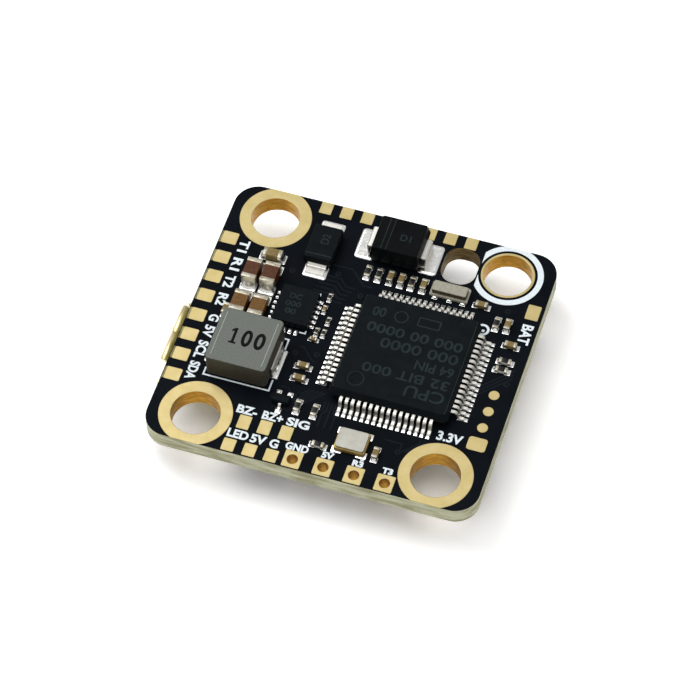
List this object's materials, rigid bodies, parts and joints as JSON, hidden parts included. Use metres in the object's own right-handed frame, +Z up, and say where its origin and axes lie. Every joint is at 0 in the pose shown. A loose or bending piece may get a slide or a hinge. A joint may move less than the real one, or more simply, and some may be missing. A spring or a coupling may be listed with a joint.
{
  "type": "flight controller board",
  "caption": "Square flight controller circuit board with plated corner mounting holes, a large processor, power inductor, chip parts, USB and lead sockets below, and a boot button.",
  "frame": {"origin": "Middle of the bounding box at its lowest point. The board's hole pattern is centred 0.5 mm towards +X of it, because the USB socket's lips pass the west edge by 1 mm.", "axes": "+Z up, out of the populated top face; +X towards the edge opposite the USB socket; +Y towards the edge with the large input diode."},
  "size_m": [0.0286, 0.0254, 0.007],
  "materials": {
    "laminate": "black satin solder mask on pale glass-fibre laminate",
    "gold_plating": "satin immersion gold over copper",
    "tinned_metal": "bright tin",
    "shell_metal": "pale gold-flashed sheet steel",
    "moulding_black": "black moulding compound, fine matte grain",
    "ferrite_grey": "pressed grey ferrite, smooth and matte",
    "ceramic_dark": "dark red-brown ceramic with tinned ends",
    "ceramic_tan": "tan-brown ceramic with tinned ends",
    "ceramic_khaki": "khaki ceramic with tinned ends",
    "resistor_black": "black glaze on white ceramic, tinned ends",
    "ceramic_white": "off-white ceramic carrier",
    "resonator_beige": "grey-beige ceramic cap",
    "lid_metal": "satin nickel-plated lid",
    "plunger_white": "off-white nylon",
    "socket_cream": "natural nylon",
    "led_clear": "clear epoxy"
  },
  "bodies": {
    "board": {"boot_button_base": "moulding_black", "boot_button_cover": "lid_metal", "boot_button_dome": "tinned_metal", "bootstrap_capacitor": "ceramic_khaki", "buck_converter": "moulding_black", "buzzer_transistor": "moulding_black", "crystal_base": "ceramic_white", "crystal_lid": "lid_metal", "esc_socket_contacts": "tinned_metal", "esc_socket_housing": "socket_cream", "esc_socket_tab_north": "tinned_metal", "esc_socket_tab_south": "tinned_metal", "filter_capacitor_1": "ceramic_khaki", "filter_capacitor_2": "ceramic_khaki", "filter_capacitor_3": "ceramic_khaki", "flash_chip": "moulding_black", "flat_diode_body": "moulding_black", "flat_diode_lead_north": "tinned_metal", "flat_diode_lead_south": "tinned_metal", "gyro_chip": "moulding_black", "inductor_core": "ferrite_grey", "inductor_terminal_east": "tinned_metal", "inductor_terminal_west": "tinned_metal", "input_capacitor_1": "ceramic_dark", "input_capacitor_2": "ceramic_dark", "mcu_body": "moulding_black", "mcu_leads_east": "tinned_metal", "mcu_leads_north": "tinned_metal", "mcu_leads_south": "tinned_metal", "mcu_leads_west": "tinned_metal", "mount_ring_ne": "gold_plating", "mount_ring_nw": "gold_plating", "mount_ring_se": "gold_plating", "mount_ring_sw": "gold_plating", "osd_chip_body": "moulding_black", "osd_chip_leads_north": "tinned_metal", "osd_chip_leads_south": "tinned_metal", "output_capacitor_1": "ceramic_tan", "output_capacitor_2": "ceramic_tan", "pcb_laminate": "laminate", "power_diode_body": "moulding_black", "power_diode_lead_east": "tinned_metal", "power_diode_lead_west": "tinned_metal", "regulator": "moulding_black", "resonator": "resonator_beige", "row_chip_1": "resistor_black", "row_chip_2": "resistor_black", "row_chip_3": "ceramic_khaki", "row_chip_4": "ceramic_khaki", "row_chip_5": "resistor_black", "row_chip_6": "ceramic_khaki", "status_led": "led_clear", "through_pad_1": "gold_plating", "through_pad_2": "gold_plating", "through_pad_3": "gold_plating", "through_pad_4": "gold_plating", "usb_contacts": "gold_plating", "usb_insulator": "moulding_black", "usb_shell": "shell_metal"},
    "boot_plunger": {"boot_button_plunger": "plunger_white"}
  },
  "joints": [
    {"name": "boot_button_press", "type": "slide", "parent": "board", "child": "boot_plunger", "axis": [0, 0, 1], "range_m": [0, 0.00025], "stiffness_N_per_m": 6000, "deforming": ["boot_button_dome"]}
  ]
}
